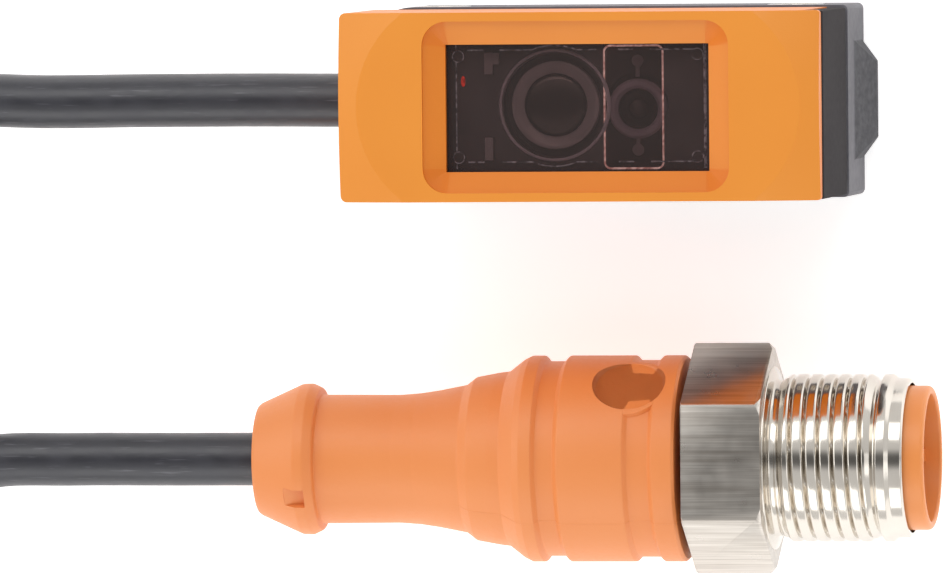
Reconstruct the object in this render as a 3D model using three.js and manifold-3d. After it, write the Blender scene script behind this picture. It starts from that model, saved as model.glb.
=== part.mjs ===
// A small photoelectric sensor head with a short cable and a round screw plug.
// Millimetres, +Z up. The head lies on its back with its optics facing up, and the origin
// is at the middle of the head's underside. +X points from the cable end to the lug end.
import * as THREE from "three";
import { ConvexGeometry } from "three/addons/geometries/ConvexGeometry.js";
import { mergeVertices } from "three/addons/utils/BufferGeometryUtils.js";
import Module from "manifold-3d";

const wasm = await Module();
wasm.setup();

// ---- Driving dimensions: the head ----
const headLength = 34.1;
const headWidth = 13.3;
const headHeight = 21;
const partingHeight = 7.9; // where the front shell meets the rear shell
const seamGap = 0.15;
const wall = 1.2;
const frontWallInside = 19.4; // underside of the front wall
const rearOverhang = 0.15; // the rear shell stands this far proud of the front shell
const rearFloor = 1.4;
const lugReach = 1.15; // how far the mounting lug stands out of the end
const lugBaseWidth = 8.5;
const lugTipWidth = 5.4;
const lugBottom = 1.0;
const lugTop = 5.1; // at its root
const lugTipTop = 1.9;

// ---- The sloping frame round the window ----
const bezelStart = 6.05;
const bezelLength = 21.7;
const bezelWidth = 12;
const bezelCorner = 1.7;
const windowStart = 7.5;
const windowLength = 18.7;
const windowEnd = windowStart + windowLength;
const windowWidth = 8.95;
const windowShift = -0.1; // the window's middle sits a little off the head's middle line
const windowLow = windowShift - windowWidth / 2;
const windowHigh = windowShift + windowWidth / 2;
const bezelDepth = 1.2;
const paneThickness = 0.95;

// ---- Optics ----
const receiverX = 14.9;
const emitterX = 20.7;
const receiverLensRadius = 2.95;
const emitterLensRadius = 1.4;
const carrierTop = 17.6;
const carrierBottom = 10.9;
const boardTop = 9.9;
const boardThickness = 0.8;

// ---- Rear controls and fixing sleeves ----
const rangeKnobX = 11.6;
const modeKnobX = 22.4;
const knobRadius = 2;
const sleeveSpacing = 25.4; // two M3 screws across the head
const sleeveHeight = 3.9;
const sleeveRadius = 2.1;
const screwHoleRadius = 1.6;

// ---- Cable, coil and plug ----
const cableDiameter = 3.7;
const cableRadius = cableDiameter / 2;
const cableExitHeight = 8;
const plugStartX = -8.6; // the sleeve's cable end, measured from the head's cable end
const plugOffsetY = -25.25;
const plugAxisHeight = 7.35;
const plugRadius = 7.3;
const coilTurnRadius = 20;
const coilCentreX = -52;
const coilCentreY = -12.6;
const coilLift = 0.9; // the tie under the turns holds them this far off the surface
const fitGap = 0.3;

const headMiddle = (headLength + 0.2 + lugReach - rearOverhang) / 2;
const firstLayer = coilLift + cableRadius;
const secondLayer = firstLayer + cableDiameter;

// ---- Materials ----
function finish(color, roughness, metalness = 0, extra = {}) {
  return new THREE.MeshStandardMaterial({ color, roughness, metalness, ...extra });
}
const orangePlastic = finish(0xeb9746, 0.55);
const sleeveRubber = finish(0xe8965f, 0.6);
const darkPlastic = finish(0x57555a, 0.45);
const greyPlastic = finish(0x87848a, 0.6);
const blackPlastic = finish(0x242225, 0.6);
const smokedPane = finish(0x3a3232, 0.15, 0, { transparent: true, opacity: 0.6 });
const clearLens = finish(0xb9a3a6, 0.1, 0, { transparent: true, opacity: 0.7 });
const nickel = finish(0xc9c6c2, 0.3, 1);
const gold = finish(0xd9b25f, 0.3, 1);
const boardGreen = finish(0x1f5a3a, 0.6);
const chipBlack = finish(0x1b1b1d, 0.5);
const sealRubber = finish(0x2a2a2c, 0.85);
const cableJacket = finish(0x56555c, 0.65);
const lampGreen = finish(0x39b35a, 0.3);
const lampYellow = finish(0xf0b51e, 0.3);
const lampRed = finish(0xd8402a, 0.3);

// ---- Shape helpers ----
function solidOf(geometry) {
  const bare = geometry.clone();
  bare.deleteAttribute("normal");
  bare.deleteAttribute("uv");
  const merged = mergeVertices(bare, 1e-4);
  return new wasm.Manifold(
    new wasm.Mesh({
      numProp: 3,
      vertProperties: merged.attributes.position.array,
      triVerts: new Uint32Array(merged.index.array),
    }),
  );
}

function geometryOf(solid) {
  const { vertProperties, triVerts } = solid.getMesh();
  const geometry = new THREE.BufferGeometry();
  geometry.setAttribute("position", new THREE.BufferAttribute(vertProperties, 3));
  geometry.setIndex(new THREE.BufferAttribute(triVerts, 1));
  geometry.computeVertexNormals();
  return geometry;
}

function cut(body, ...tools) {
  return geometryOf(tools.reduce((left, tool) => left.subtract(solidOf(tool)), solidOf(body)));
}

function join(...bodies) {
  return geometryOf(bodies.map(solidOf).reduce((all, body) => all.add(body)));
}

function common(body, other) {
  return geometryOf(solidOf(body).intersect(solidOf(other)));
}

function block(x0, x1, y0, y1, z0, z1) {
  const box = new THREE.BoxGeometry(x1 - x0, y1 - y0, z1 - z0);
  return box.translate((x0 + x1) / 2, (y0 + y1) / 2, (z0 + z1) / 2);
}

// A rectangle with its four corner radii given anticlockwise from the low-x, low-y corner.
function roundedRectangle(x0, x1, y0, y1, radii) {
  const [a, b, c, d] = Array.isArray(radii) ? radii : [radii, radii, radii, radii];
  const shape = new THREE.Shape();
  shape.moveTo(x0 + a, y0);
  shape.lineTo(x1 - b, y0);
  shape.absarc(x1 - b, y0 + b, b, -Math.PI / 2, 0);
  shape.lineTo(x1, y1 - c);
  shape.absarc(x1 - c, y1 - c, c, 0, Math.PI / 2);
  shape.lineTo(x0 + d, y1);
  shape.absarc(x0 + d, y1 - d, d, Math.PI / 2, Math.PI);
  shape.lineTo(x0, y0 + a);
  shape.absarc(x0 + a, y0 + a, a, Math.PI, Math.PI * 1.5);
  return shape;
}

function slab(shape, z0, z1, curveSegments = 6) {
  const options = { depth: z1 - z0, bevelEnabled: false, curveSegments };
  return new THREE.ExtrudeGeometry(shape, options).translate(0, 0, z0);
}

// A turned piece about the Z axis, from [radius, height] points.
function turnedZ(points, x = 0, y = 0, segments = 24) {
  const profile = points.map(([radius, height]) => new THREE.Vector2(radius, height));
  const lathe = new THREE.LatheGeometry(profile, segments);
  return lathe.rotateX(Math.PI / 2).translate(x, y, 0);
}

// A turned piece about the X axis, from [distance along X, radius] points.
function turnedX(points, segments = 32) {
  const profile = points.map(([along, radius]) => new THREE.Vector2(radius, along));
  return new THREE.LatheGeometry(profile, segments).rotateZ(-Math.PI / 2);
}

function discZ(radius, z0, z1, x, y = 0, segments = 24) {
  return turnedZ([[0, z0], [radius, z0], [radius, z1], [0, z1]], x, y, segments);
}

function ringZ(inner, outer, z0, z1, x, y = 0, segments = 24) {
  const section = [[inner, z0], [outer, z0], [outer, z1], [inner, z1], [inner, z0]];
  return turnedZ(section, x, y, segments);
}

function rodY(radius, y0, y1, x, z, segments = 20) {
  const rod = new THREE.CylinderGeometry(radius, radius, y1 - y0, segments);
  return rod.translate(x, (y0 + y1) / 2, z);
}

function rodX(radius, x0, x1, y, z, segments = 20) {
  const rod = new THREE.CylinderGeometry(radius, radius, x1 - x0, segments);
  return rod.rotateZ(Math.PI / 2).translate((x0 + x1) / 2, y, z);
}

// Points round a circle, for solids made as the hull of a few circles.
function circlePoints(x, y, z, radius, count = 32) {
  return Array.from({ length: count }, (_, i) => {
    const angle = (2 * Math.PI * i) / count;
    return new THREE.Vector3(x + radius * Math.cos(angle), y + radius * Math.sin(angle), z);
  });
}

function outlinePoints(shape, z, curveSegments = 5) {
  return shape.getPoints(curveSegments).map((p) => new THREE.Vector3(p.x, p.y, z));
}

// A tube along a curve, as an extruded regular polygon.
function tube(curve, radius, sides, steps) {
  const section = new THREE.Shape(
    Array.from({ length: sides }, (_, i) => {
      const angle = (2 * Math.PI * i) / sides;
      return new THREE.Vector2(radius * Math.cos(angle), radius * Math.sin(angle));
    }),
  );
  return new THREE.ExtrudeGeometry(section, { steps, extrudePath: curve, bevelEnabled: false });
}

const head = new THREE.Group();
head.position.x = -headMiddle;
const plug = new THREE.Group();
plug.position.set(plugStartX - headMiddle, plugOffsetY, plugAxisHeight);

function place(group, name, geometry, material) {
  const mesh = new THREE.Mesh(geometry, material);
  mesh.name = name;
  group.add(mesh);
}

// ---- Front shell ----
// The face is flat between two arcs and falls away as shallow cones towards the four corners.
function faceTrim() {
  const arcRadius = 8.2;
  const arcInset = 1.3;
  const fallSlope = 0.3;
  const spread = 4;
  const centres = [arcInset + arcRadius, headLength - arcInset - arcRadius];
  const foot = headHeight - spread * fallSlope;
  const points = centres.flatMap((x) => [
    ...circlePoints(x, 0, headHeight, arcRadius, 48),
    ...circlePoints(x, 0, foot, arcRadius + spread, 48),
    ...circlePoints(x, 0, 0, arcRadius + spread, 48),
  ]);
  return new ConvexGeometry(points);
}

function bezelRecess() {
  const top = headHeight + 0.01;
  const outer = roundedRectangle(
    bezelStart, bezelStart + bezelLength, -bezelWidth / 2, bezelWidth / 2, bezelCorner,
  );
  const inner = roundedRectangle(windowStart, windowEnd, windowLow, windowHigh, 0.15);
  const floor = headHeight - bezelDepth;
  return new ConvexGeometry([...outlinePoints(outer, top), ...outlinePoints(inner, floor)]);
}

const endPlateStart = headLength - 1.1;

function frontHousing() {
  const half = headWidth / 2;
  const outline = roundedRectangle(0, headLength, -half, half, [0.45, 0.25, 0.25, 0.45]);
  const outer = slab(outline, partingHeight + seamGap, headHeight, 4);
  const shell = common(outer, faceTrim());
  const cavity = block(wall, endPlateStart + 0.1, -half + wall, half - wall, 0, frontWallInside);
  const endOpening = block(endPlateStart - 0.15, headLength + 1, -half - 1, half + 1, 0, 19.3);
  const opening = block(windowStart, windowEnd, windowLow, windowHigh, 10, headHeight + 1);
  const cableMouth = rodX(2.6, -1, wall + 1, 0, cableExitHeight, 24);
  return cut(shell, cavity, endOpening, bezelRecess(), opening, cableMouth);
}

function indicatorCover() {
  const half = headWidth / 2 - 0.05;
  const plate = block(endPlateStart, headLength + 0.1, -half, half, partingHeight + seamGap, 19.15);
  const tongueHalf = headWidth / 2 - wall - 0.3;
  const tongue = block(endPlateStart - 1.4, endPlateStart + 0.2, -tongueHalf, tongueHalf, 10.2, 18.8);
  const lampPocket = block(endPlateStart - 2, headLength - 0.5, -2.4, 2.4, 11.2, 15.6);
  return cut(join(plate, tongue), lampPocket);
}

// ---- Rear shell, with the mounting lug moulded on ----
// A wedge that narrows towards its tip, seen from above and from the side.
function mountingLug(x0) {
  const section = (x, width, top) =>
    [-width / 2, width / 2].flatMap((y) => [lugBottom, top].map((z) => new THREE.Vector3(x, y, z)));
  return new ConvexGeometry([
    ...section(x0 - 0.5, lugBaseWidth, lugTop),
    ...section(x0, lugBaseWidth, lugTop),
    ...section(x0 + lugReach, lugTipWidth, lugTipTop),
  ]);
}

const sleeveMiddleX = headLength / 2 + 0.3;
const sleeveXs = [sleeveMiddleX - sleeveSpacing / 2, sleeveMiddleX + sleeveSpacing / 2];

function rearHousing() {
  const half = headWidth / 2 + rearOverhang;
  const right = headLength + 0.2;
  const outline = roundedRectangle(-rearOverhang, right, -half, half, [3.2, 0.4, 0.4, 3.2]);
  const outer = join(slab(outline, 0, partingHeight - seamGap), mountingLug(right));
  const inside = roundedRectangle(wall, right - wall, wall - half, half - wall, [2, 0.3, 0.3, 2]);
  const tray = cut(outer, slab(inside, rearFloor, headHeight));
  const bosses = [rangeKnobX, modeKnobX].map((x) => discZ(3.3, rearFloor - 0.5, 3.8, x));
  const tubes = sleeveXs.map((x) => rodY(sleeveRadius + 0.75, -half + 0.5, half - 0.5, x, sleeveHeight));
  const wells = [rangeKnobX, modeKnobX].flatMap((x) => [
    discZ(knobRadius + 0.3, -1, 2.5, x),
    discZ(1.55, 2, 5, x),
  ]);
  const sleeveHoles = sleeveXs.map((x) => rodY(sleeveRadius + 0.1, -half - 1, half + 1, x, sleeveHeight));
  const cableMouth = rodX(2.6, -2, wall + 1, 0, cableExitHeight, 24);
  return cut(join(tray, ...bosses, ...tubes), ...wells, ...sleeveHoles, cableMouth);
}

function mountingSleeve(x) {
  const half = headWidth / 2 + rearOverhang;
  const hole = rodY(screwHoleRadius, -half - 1, half + 1, x, sleeveHeight, 20);
  return cut(rodY(sleeveRadius, -half, half, x, sleeveHeight, 20), hole);
}

function housingGasket() {
  const half = headWidth / 2 - 0.35;
  const bandWidth = 0.6;
  const z0 = partingHeight - seamGap + 0.05;
  const z1 = partingHeight + seamGap - 0.05;
  const outer = slab(roundedRectangle(0.35, headLength - 0.4, -half, half, [2, 0.3, 0.3, 2]), z0, z1);
  const inner = roundedRectangle(
    0.35 + bandWidth, headLength - 0.4 - bandWidth,
    bandWidth - half, half - bandWidth, [1.5, 0.2, 0.2, 1.5],
  );
  const cableMouth = rodX(2.6, -1, wall + 1, 0, cableExitHeight, 24);
  return cut(outer, slab(inner, z0 - 1, z1 + 1), cableMouth);
}

// ---- Window and optics ----
const paneTop = frontWallInside - 0.05;

// The pane and its seal reach this far past the window's edge, lengthwise and across.
const paneLap = 0.9;
const paneSideLap = 0.7;

function windowPane() {
  const outline = roundedRectangle(
    windowStart - paneLap, windowEnd + paneLap, windowLow - paneSideLap, windowHigh + paneSideLap, 0.4,
  );
  return slab(outline, paneTop - paneThickness, paneTop, 3);
}

function windowSeal() {
  const top = paneTop - paneThickness - 0.05;
  const rim = 0.75;
  const [x0, x1] = [windowStart - paneLap, windowEnd + paneLap];
  const [y0, y1] = [windowLow - paneSideLap, windowHigh + paneSideLap];
  const frame = block(x0, x1, y0, y1, top - 0.6, top);
  return cut(frame, block(x0 + rim, x1 - rim, y0 + rim, y1 - rim, top - 2, top + 1));
}

function opticsCarrier() {
  const body = block(6.9, 26.7, -5.1, 5.1, carrierBottom, carrierTop);
  const tools = [
    discZ(receiverLensRadius + 0.7, carrierTop - 1.3, carrierTop + 1, receiverX, 0, 36),
    discZ(receiverLensRadius - 0.6, carrierBottom - 1, carrierTop, receiverX, 0, 36),
    block(emitterX - 2.35, emitterX + 2, -4.7, 4.55, carrierTop - 0.8, carrierTop + 1),
    discZ(emitterLensRadius + 0.9, carrierTop - 2, carrierTop, emitterX),
    discZ(1.2, carrierBottom - 1, carrierTop, emitterX),
  ];
  const posts = [[8.1, 3.5], [8.1, -3.6], [25.1, 3.6]];
  const pegs = posts.map(([x, y]) => discZ(0.4, carrierTop - 0.5, carrierTop + 0.3, x, y, 12));
  const stops = [3, -3].map((y) => block(10.1, 10.6, y - 0.8, y + 0.8, carrierTop - 0.5, carrierTop + 0.3));
  return join(cut(body, ...tools), ...pegs, ...stops);
}

// A dome on a flange, as [radius, height] points from the flange's underside up.
function lensProfile(radius, flangeRadius, base, rise) {
  const ballRadius = (radius * radius + rise * rise) / (2 * rise);
  const steps = 6;
  const dome = Array.from({ length: steps + 1 }, (_, i) => {
    const r = radius * (1 - i / steps);
    return [r, base + 0.6 + Math.sqrt(ballRadius ** 2 - r * r) - (ballRadius - rise)];
  });
  return [[0, base], [flangeRadius, base], [flangeRadius, base + 0.6], ...dome];
}

function receiverLens() {
  const base = carrierTop - 1.25;
  return turnedZ(lensProfile(receiverLensRadius - 0.8, receiverLensRadius, base, 0.5), receiverX, 0, 36);
}

function receiverLensRing() {
  const inner = receiverLensRadius + 0.08;
  return ringZ(inner, inner + 0.3, carrierTop - 1.25, carrierTop - 0.1, receiverX, 0, 36);
}

// The emitter's lens is moulded in one with the clear plate that holds it.
function emitterLens() {
  const base = carrierTop - 0.75;
  const outline = roundedRectangle(emitterX - 2.3, emitterX + 1.95, -4.62, 4.47, 0.43);
  const plate = slab(outline, base, base + 0.55, 3);
  const dome = turnedZ(lensProfile(0.75, emitterLensRadius, base, 0.35), emitterX);
  return join(plate, dome);
}

function emitterBarrel() {
  const inner = emitterLensRadius - 0.1;
  return ringZ(inner, inner + 0.85, carrierTop - 1.9, carrierTop - 0.8, emitterX);
}

// ---- Electronics ----
function circuitBoard() {
  const underside = boardTop - boardThickness;
  const board = block(3, 31.8, -5.1, 5.1, underside, boardTop);
  const pegHoles = [[8, 3.6], [8, -3.6], [26, 3.6]];
  return cut(board, ...pegHoles.map(([x, y]) => discZ(0.6, underside - 1, boardTop + 1, x, y, 12)));
}

function shieldCan() {
  const outer = block(12.4, 17.6, -2.9, 2.9, boardTop + 0.05, carrierBottom - 0.05);
  const inside = block(12.7, 17.3, -2.6, 2.6, boardTop - 1, carrierBottom - 0.3);
  return cut(outer, inside, discZ(1.6, 5, 15, receiverX));
}

function lampOnBoard(y) {
  const base = boardTop + 0.05;
  return block(30.2, 31.6, y - 0.8, y + 0.8, base, base + 1.1);
}

function receiverChip() {
  const half = 1.2;
  return block(receiverX - half, receiverX + half, -half, half, boardTop + 0.05, boardTop + 0.6);
}

function emitterLed() {
  const half = 0.9;
  const base = boardTop + 0.05;
  const body = block(emitterX - half, emitterX + half, -half, half, base, base + 0.5);
  return join(body, discZ(0.6, base + 0.4, base + 0.9, emitterX, 0, 16));
}

function controllerChip() {
  return block(24.4, 28.4, -2, 2, boardTop + 0.05, boardTop + 0.85);
}

// Two clear rods carry the lamps' light up behind the end cover.
function lightPipe(y) {
  const foot = boardTop + 1.25;
  return join(
    block(30.3, 31.5, y - 0.7, y + 0.7, foot, foot + 3.2),
    block(30.3, 32.9, y - 0.7, y + 0.7, foot + 1.2, foot + 3.2),
  );
}

// ---- Rear controls ----
function rearKnob(x, pointer) {
  const profile = [
    [0, 0.35], [knobRadius - 0.25, 0.35], [knobRadius, 0.6], [knobRadius, 2.1],
    [0.85, 2.1], [0.85, 5.3], [0, 5.3],
  ];
  const slot = block(x - 1.5, x + 1.5, -0.3, 0.3, 0, 1.1);
  const tools = pointer ? [slot, block(x - 0.3, x + 0.3, 0, 2.5, 0, 0.8)] : [slot];
  return cut(turnedZ(profile, x), ...tools);
}

function controlBase(x) {
  const top = boardTop - boardThickness - 0.1;
  const body = block(x - 2.3, x + 2.3, -2.3, 2.3, 4.2, top);
  return cut(body, discZ(0.95, 3, 6, x));
}

function knobSeal(x) {
  return ringZ(0.9, 1.5, 2.6, 3.6, x, 0, 20);
}

// ---- Cable entry ----
function cableGrommet() {
  const bore = cableRadius + 0.2;
  const profile = [
    [-0.1, bore], [-0.1, 2.5], [wall + 0.1, 2.5], [wall + 0.1, 2.9],
    [wall + 0.7, 2.9], [wall + 0.7, bore], [-0.1, bore],
  ];
  const grommet = turnedX(profile, 24);
  return grommet.translate(0, 0, cableExitHeight);
}

// An arch that presses the cable's jacket down just inside the end wall.
function cableClamp() {
  const arch = block(2.1, 2.85, -3.2, 3.2, 7.2, 11.2);
  return cut(arch, rodX(cableRadius + 0.2, 1, 4, 0, cableExitHeight));
}

function conductor(index) {
  const spread = (index - 1.5) * 1.5;
  const near = (index - 1.5) * 0.75;
  const points = [[3.15, near, 8], [3.9, near, 8.1], [5.4, spread, 8.4], [6.8, spread, 8.4]];
  const curve = new THREE.CatmullRomCurve3(points.map((p) => new THREE.Vector3(...p)));
  return tube(curve, 0.3, 8, 5);
}

// ---- Plug ----
// The soft sleeve moulded over the cable and the plug's body, thin end first.
function connectorBoot() {
  const bore = cableRadius + fitGap;
  const thinEnd = 0.4;
  const profile = [
    [thinEnd, bore], [thinEnd, 3.75], [0.55, 3.95], [3.45, 5.28], [3.9, 5.36], [4.45, 5.28],
    [4.85, 4.95], [5, 4.56], [10.5, 4.54], [12, 4.65], [13.4, 4.86], [15.5, 5.3], [16.1, 5.8],
    [17.7, 6.1], [18.5, 6.2], [19.6, 7.1], [20.1, plugRadius], [20.9, plugRadius], [21.2, 6.9],
    [22.4, 6.9], [22.9, plugRadius], [27.5, plugRadius], [27.9, 6.97], [29.2, 6.97],
    [29.7, plugRadius], [31, plugRadius], [31.2, 7.1], [31.2, 0], [11, 0], [11, bore], [thinEnd, bore],
  ];
  // a round flat-bottomed dimple on the sleeve's shoulder, and a small pocket near the thin end
  const dimpleRadius = 2.6;
  const dimpleFloor = 6.6;
  const dimpleX = 27.7;
  const dimple = new THREE.CylinderGeometry(dimpleRadius, dimpleRadius, 3, 24);
  dimple.translate(0, dimpleFloor + 1.5, 0).rotateX((40 * Math.PI) / 180).translate(dimpleX, 0, 0);
  const pocket = block(2.8, 4.3, -3.2, -1.85, 4.35, 6);
  return cut(turnedX(profile), dimple, pocket);
}

const nutStart = 31.55;
const threadStart = 37.9;
const threadEnd = 44.8;
const threadPitch = 1;
const threadRadius = 5.95;
const threadRoot = 5.55;
const nutBore = 5.3;
const carrierRadius = 5.1;
const nutEnd = 47;

// The ring nut: a hexagon, then a thread shown as plain ridges one pitch apart.
function couplingNut() {
  const acrossFlats = 14;
  const cornerRadius = acrossFlats / Math.sqrt(3);
  const hexStart = nutStart - 0.2;
  const hexEnd = 36.9;
  const hexagon = new THREE.CylinderGeometry(cornerRadius, cornerRadius, hexEnd - nutStart, 6);
  hexagon.rotateZ(Math.PI / 2).rotateX(Math.PI / 2);
  hexagon.translate((nutStart + hexEnd) / 2, 0, 0);
  const chamfer = 0.55;
  const chamferCone = turnedX([
    [hexStart, 0], [hexStart, cornerRadius - chamfer - 0.15], [nutStart + chamfer, cornerRadius + 0.1],
    [hexEnd - chamfer, cornerRadius + 0.1], [hexEnd + 0.1, cornerRadius - chamfer - 0.1], [hexEnd + 0.1, 0],
  ], 36);
  const ridgeCount = Math.round((threadEnd - threadStart) / threadPitch);
  const ridges = Array.from({ length: ridgeCount }, (_, i) => {
    const start = threadStart + i * threadPitch;
    return [[start, threadRoot], [start + threadPitch / 2, threadRadius]];
  }).flat();
  const stem = turnedX([
    [hexEnd - 1, 0], [hexEnd - 1, 6.4], [hexEnd, 6.4], [threadStart - 0.4, threadRoot + 0.1], ...ridges,
    [threadEnd + 0.1, threadRoot], [45, threadRadius - 0.05], [45.9, threadRadius - 0.05],
    [46.1, 5.62], [nutEnd, 5.62], [nutEnd, 0],
  ]);
  const bore = turnedX([[30, 0], [30, nutBore], [50, nutBore], [50, 0]]);
  return cut(join(common(hexagon, chamferCone), stem), bore);
}

// The insulating body that carries the pins, open at its mouth, with a key rib inside.
function contactCarrier() {
  const mouthRadius = 4.5;
  const mouthEnd = 48.4;
  const floor = 39.5;
  const body = turnedX([
    [31.6, 0], [31.6, carrierRadius], [mouthEnd - 0.2, carrierRadius], [mouthEnd, carrierRadius - 0.2],
    [mouthEnd, mouthRadius + 0.1], [mouthEnd - 0.1, mouthRadius], [floor, mouthRadius], [floor, 0],
  ]);
  const sealGroove = ringX(4.7, 6, 41.2, 42.6);
  const pinHoles = pinPlaces.map(([y, z]) => rodX(pinRadius + 0.05, floor - 3, floor + 1, y, z, 12));
  const key = block(floor + 0.5, mouthEnd - 1, -0.45, 0.45, -mouthRadius - 0.2, -mouthRadius + 0.75);
  return join(cut(body, sealGroove, ...pinHoles), key);
}

function ringX(inner, outer, x0, x1) {
  const section = [[x0, inner], [x0, outer], [x1, outer], [x1, inner], [x0, inner]];
  return turnedX(section);
}

function faceSeal() {
  return ringX(4.78, carrierRadius + 0.1, 41.3, 42.5);
}

const pinRadius = 0.5;
const pinCircle = 2.75;
const pinPlaces = [0, 1, 2, 3].map((i) => {
  const angle = (i * Math.PI) / 2;
  return [pinCircle * Math.cos(angle), pinCircle * Math.sin(angle)];
});

function contactPin([y, z]) {
  const tip = 46.9;
  const pin = turnedX([
    [37, 0], [37, pinRadius], [tip - 0.35, pinRadius], [tip, 0.25], [tip, 0],
  ], 12);
  return pin.translate(0, y, z);
}

// ---- Cable ----
// The loose cable runs straight out of the head, drops to the coil beside the view,
// makes one and a half turns and comes back from the coil's upper layer to the plug.
const coilTopY = coilCentreY + coilTurnRadius;
const coilBottomY = coilCentreY - coilTurnRadius;

function smoothCurve(points) {
  return new THREE.CatmullRomCurve3(points.map((p) => new THREE.Vector3(...p)), false, "centripetal");
}

const headRun = [
  [2.8, 0, cableExitHeight], [-8, 0, cableExitHeight], [-16, 0, cableExitHeight], [-25, 0, 7.95],
  [-31, 0.6, 7.2], [-37, 2.8, 5.5], [-42.5, 5.4, 3.9], [-47.5, 7, 3], [coilCentreX, coilTopY, firstLayer],
];

const plugRun = [
  [coilCentreX, coilBottomY, secondLayer], [-48, -32.45, 6.4], [-43.5, -31.6, 6.4], [-38.5, -29.6, 6.4],
  [-33.5, -27.2, 6.6], [-28, -25.45, 7], [-22, -25.25, 7.25], [-14, -25.25, plugAxisHeight],
  [plugStartX + 10.5, -25.25, plugAxisHeight],
];

// The turns' common outer section: two turns on top of each other, with round ends.
function coilSection(grow) {
  const r = cableRadius + grow;
  const arc = (z, from) => Array.from({ length: 5 }, (_, i) => {
    const angle = from + (Math.PI * i) / 4;
    return [coilTurnRadius + r * Math.cos(angle), z + r * Math.sin(angle)];
  });
  const section = [...arc(firstLayer, Math.PI), ...arc(secondLayer, 0)];
  return [...section, section[0]];
}

function coil(grow) {
  return turnedZ(coilSection(grow), coilCentreX, coilCentreY, 40);
}

function cableRun(points, steps) {
  return cut(tube(smoothCurve(points), cableRadius, 8, steps), coil(fitGap));
}

function coilTie() {
  const band = 0.6;
  const halfWidth = 1.5;
  const loop = (grow) => {
    const shape = new THREE.Shape();
    shape.absarc(0, secondLayer, cableRadius + grow, 0, Math.PI);
    shape.absarc(0, firstLayer, cableRadius + grow, Math.PI, 2 * Math.PI);
    return shape;
  };
  const shape = loop(fitGap + band);
  shape.holes.push(loop(fitGap));
  const strap = slab(shape, -halfWidth, halfWidth, 10).rotateX(Math.PI / 2);
  const lock = block(fitGap + cableRadius + 0.3, fitGap + cableRadius + 2.2, -1.9, 1.9, 3.4, 6.6);
  const passage = block(fitGap, fitGap + cableRadius + 0.4, -3, 3, 3, 7);
  return join(strap, cut(lock, passage)).translate(coilCentreX - coilTurnRadius, coilCentreY, 0);
}

// ---- Assembly ----
place(head, "front_housing", frontHousing(), orangePlastic);
place(head, "rear_housing", rearHousing(), greyPlastic);
place(head, "indicator_cover", indicatorCover(), darkPlastic);
place(head, "housing_gasket", housingGasket(), sealRubber);
sleeveXs.forEach((x, i) => place(head, "mounting_sleeve_" + (i + 1), mountingSleeve(x), nickel));

place(head, "window_pane", windowPane(), smokedPane);
place(head, "window_seal", windowSeal(), sealRubber);
place(head, "optics_carrier", opticsCarrier(), blackPlastic);
place(head, "receiver_lens", receiverLens(), clearLens);
place(head, "receiver_lens_ring", receiverLensRing(), darkPlastic);
place(head, "emitter_lens", emitterLens(), clearLens);
place(head, "emitter_barrel", emitterBarrel(), darkPlastic);

place(head, "circuit_board", circuitBoard(), boardGreen);
place(head, "shield_can", shieldCan(), nickel);
place(head, "receiver_chip", receiverChip(), chipBlack);
place(head, "emitter_led", emitterLed(), lampRed);
place(head, "controller_chip", controllerChip(), chipBlack);
[["power", 1.4, lampGreen], ["output", -1.4, lampYellow]].forEach(([label, y, material]) => {
  place(head, label + "_lamp", lampOnBoard(y), material);
  place(head, label + "_light_pipe", lightPipe(y), clearLens);
});

[["range", rangeKnobX, false], ["mode", modeKnobX, true]].forEach(([label, x, pointer]) => {
  place(head, label + "_knob", rearKnob(x, pointer), darkPlastic);
  place(head, label + "_knob_seal", knobSeal(x), sealRubber);
  place(head, label + "_control_base", controlBase(x), chipBlack);
});

place(head, "cable_grommet", cableGrommet(), sealRubber);
place(head, "cable_clamp", cableClamp(), blackPlastic);
[0, 1, 2, 3].forEach((i) => place(head, "conductor_" + (i + 1), conductor(i), cableJacket));

place(head, "cable_head_run", cableRun(headRun, 14), cableJacket);
place(head, "cable_coil", coil(0), cableJacket);
place(head, "cable_plug_run", cableRun(plugRun, 16), cableJacket);
place(head, "coil_tie", coilTie(), blackPlastic);

place(plug, "connector_boot", connectorBoot(), sleeveRubber);
place(plug, "coupling_nut", couplingNut(), nickel);
place(plug, "contact_carrier", contactCarrier(), orangePlastic);
place(plug, "face_seal", faceSeal(), sealRubber);
pinPlaces.forEach((spot, i) => place(plug, "contact_pin_" + (i + 1), contactPin(spot), gold));

const sensor = new THREE.Group();
sensor.add(head, plug);

export default sensor;
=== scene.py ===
import math
import bpy
import bmesh
from mathutils import Matrix, Vector


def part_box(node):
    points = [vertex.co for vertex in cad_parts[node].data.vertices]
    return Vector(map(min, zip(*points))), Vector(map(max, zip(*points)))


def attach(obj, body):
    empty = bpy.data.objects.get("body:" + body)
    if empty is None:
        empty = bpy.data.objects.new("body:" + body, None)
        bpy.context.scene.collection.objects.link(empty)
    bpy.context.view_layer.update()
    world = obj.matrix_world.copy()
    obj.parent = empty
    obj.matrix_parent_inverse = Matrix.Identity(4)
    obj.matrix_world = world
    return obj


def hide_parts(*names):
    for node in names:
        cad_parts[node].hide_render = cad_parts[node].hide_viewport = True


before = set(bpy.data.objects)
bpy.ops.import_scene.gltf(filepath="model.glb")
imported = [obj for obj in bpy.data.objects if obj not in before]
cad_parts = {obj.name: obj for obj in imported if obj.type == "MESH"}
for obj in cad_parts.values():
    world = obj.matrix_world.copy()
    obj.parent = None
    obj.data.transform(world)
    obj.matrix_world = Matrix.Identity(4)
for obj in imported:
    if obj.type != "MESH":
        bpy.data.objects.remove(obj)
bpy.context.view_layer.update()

mm = 0.001
print("frame loaded:", len(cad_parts), "nodes")

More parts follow.
